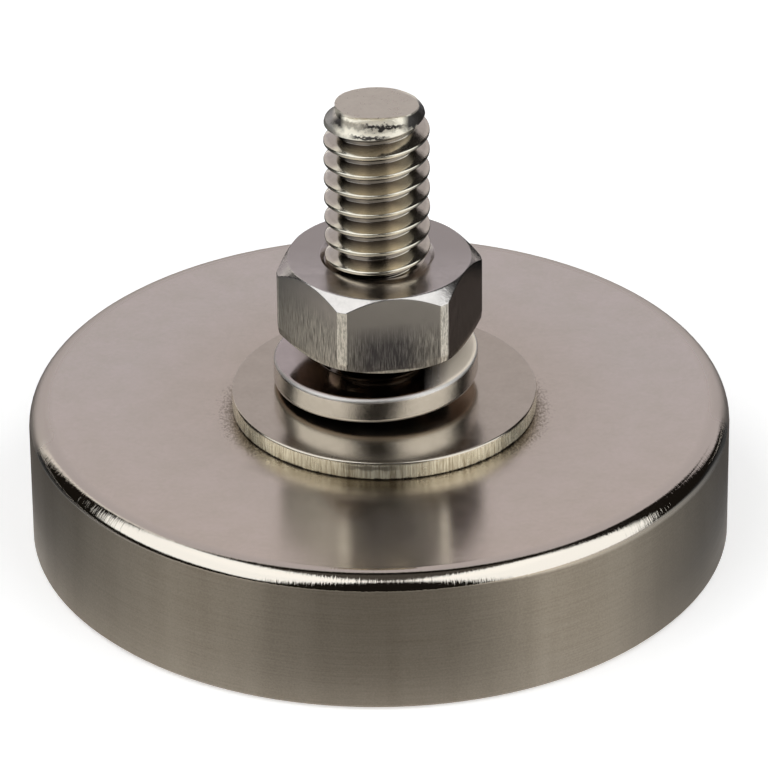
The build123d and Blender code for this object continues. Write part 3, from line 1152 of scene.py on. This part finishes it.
def make_table():
    """Greys that change with the direction seen from the object: darkest at the back."""
    material, nodes, shine = glow("table_cloth")
    x, y, _ = nodes.add("SeparateXYZ", nodes.add("TexCoord").outputs["Object"]).outputs
    azimuth = nodes.math("ARCTAN2", x, nodes.both(y, -1.0))
    turned = nodes.math("ABSOLUTE", azimuth)
    right = nodes.span(azimuth, *TABLE_MIDDLE, TABLE_LEFT, TABLE_RIGHT)
    aside = nodes.span(turned, *map(radians, TABLE_ASIDE))
    behind = nodes.span(turned, *map(radians, TABLE_BEHIND))
    grey = nodes.blend(behind, nodes.blend(aside, TABLE_FRONT, right), TABLE_BACK)
    distance = nodes.length(nodes.add("CombineXYZ", x, y, 0.0).outputs[0])
    far = nodes.span(distance, *TABLE_FAR)
    far = nodes.both(far, nodes.span(turned, *map(radians, TABLE_FAR_ASIDE)))
    grey = nodes.blend(far, grey, TABLE_DARK)
    tint = nodes.mix(behind, TABLE_TINT, TABLE_BACK_TINT)
    nodes.feed(shine.inputs[0], nodes.mix(grey, (0, 0, 0), tint))
    card("table_card", table_quads(), material)


def seen_share(nodes):
    """1 for the rays of the camera and those that metal and glass send out, 0 for light."""
    path = nodes.add("LightPath").outputs
    seen = nodes.math("ADD", path["Is Camera Ray"], path["Is Glossy Ray"])
    return nodes.math("ADD", seen, path["Is Transmission Ray"], clamp=True)


def make_floor():
    """Pale paper, seen white, that still takes the object's shadow. From below it isn't there."""
    material = bpy.data.materials.new("floor_paper")
    nodes = Nodes(material)
    shader = nodes.tree.nodes["Principled BSDF"]
    nodes.feed(shader.inputs["Base Color"], (*FLOOR_COLOUR, 1))
    nodes.feed(shader.inputs["Roughness"], FLOOR_ROUGHNESS)
    nodes.feed(shader.inputs["Emission Color"], (1, 1, 1, 1))
    distance = nodes.length(nodes.add("TexCoord").outputs["Object"])
    white = nodes.span(distance, *FLOOR_FAR, FLOOR_WHITE, FLOOR_FAR_WHITE)
    nodes.feed(shader.inputs["Emission Strength"], nodes.both(seen_share(nodes), white))
    below = nodes.add("NewGeometry").outputs["Backfacing"]
    clear = nodes.add("BsdfTransparent")
    mixed = nodes.add("MixShader", below, shader.outputs[0], clear.outputs[0])
    nodes.feed(nodes.tree.nodes["Material Output"].inputs[0], mixed.outputs[0])
    quad = lying((-FLOOR_REACH, -FLOOR_REACH), (FLOOR_REACH, FLOOR_REACH), 0)
    sheet("floor", [quad], material).location.z = -FLOOR_DROP


def make_world():
    """Soft light all round, and white where it is seen."""
    world = bpy.data.worlds.new("studio")
    bpy.context.scene.world = world
    nodes = Nodes(world)
    nodes.tree.nodes.clear()
    dim = nodes.add("Background", (1, 1, 1, 1), WORLD_DIM)
    white = nodes.add("Background", (1, 1, 1, 1), 1.0)
    mixed = nodes.add("MixShader", seen_share(nodes), dim.outputs[0], white.outputs[0])
    nodes.add("OutputWorld", mixed.outputs[0])


for settings in SOFTBOXES:
    softbox(*settings)
make_room()
make_table()
make_floor()
make_world()


# --- Camera, fitted to the photo ---
CAMERA_ELEVATION = 29.7014
CAMERA_DISTANCE = 370.0
CAMERA_ROLL = -0.5543
CAMERA_TARGET = Vector((0.3039, 0, 9.6699))
CAMERA_LENS = 289.67
CAMERA_SENSOR = 36.0
CAMERA_NEAR = 0.01  # metres

camera_data = bpy.data.cameras.new("camera")
camera_data.lens = CAMERA_LENS
camera_data.sensor_width = CAMERA_SENSOR
camera_data.clip_start = CAMERA_NEAR
camera = linked("camera", camera_data)
e = radians(CAMERA_ELEVATION)
spot = Vector((0, -CAMERA_DISTANCE * cos(e), CAMERA_DISTANCE * sin(e) + CAMERA_TARGET.z))
camera.location = spot * MM
camera.rotation_mode = "QUATERNION"
camera.rotation_quaternion = aimed(CAMERA_TARGET - spot, radians(CAMERA_ROLL))
bpy.context.scene.camera = camera
bpy.context.scene.view_settings.view_transform = "Standard"
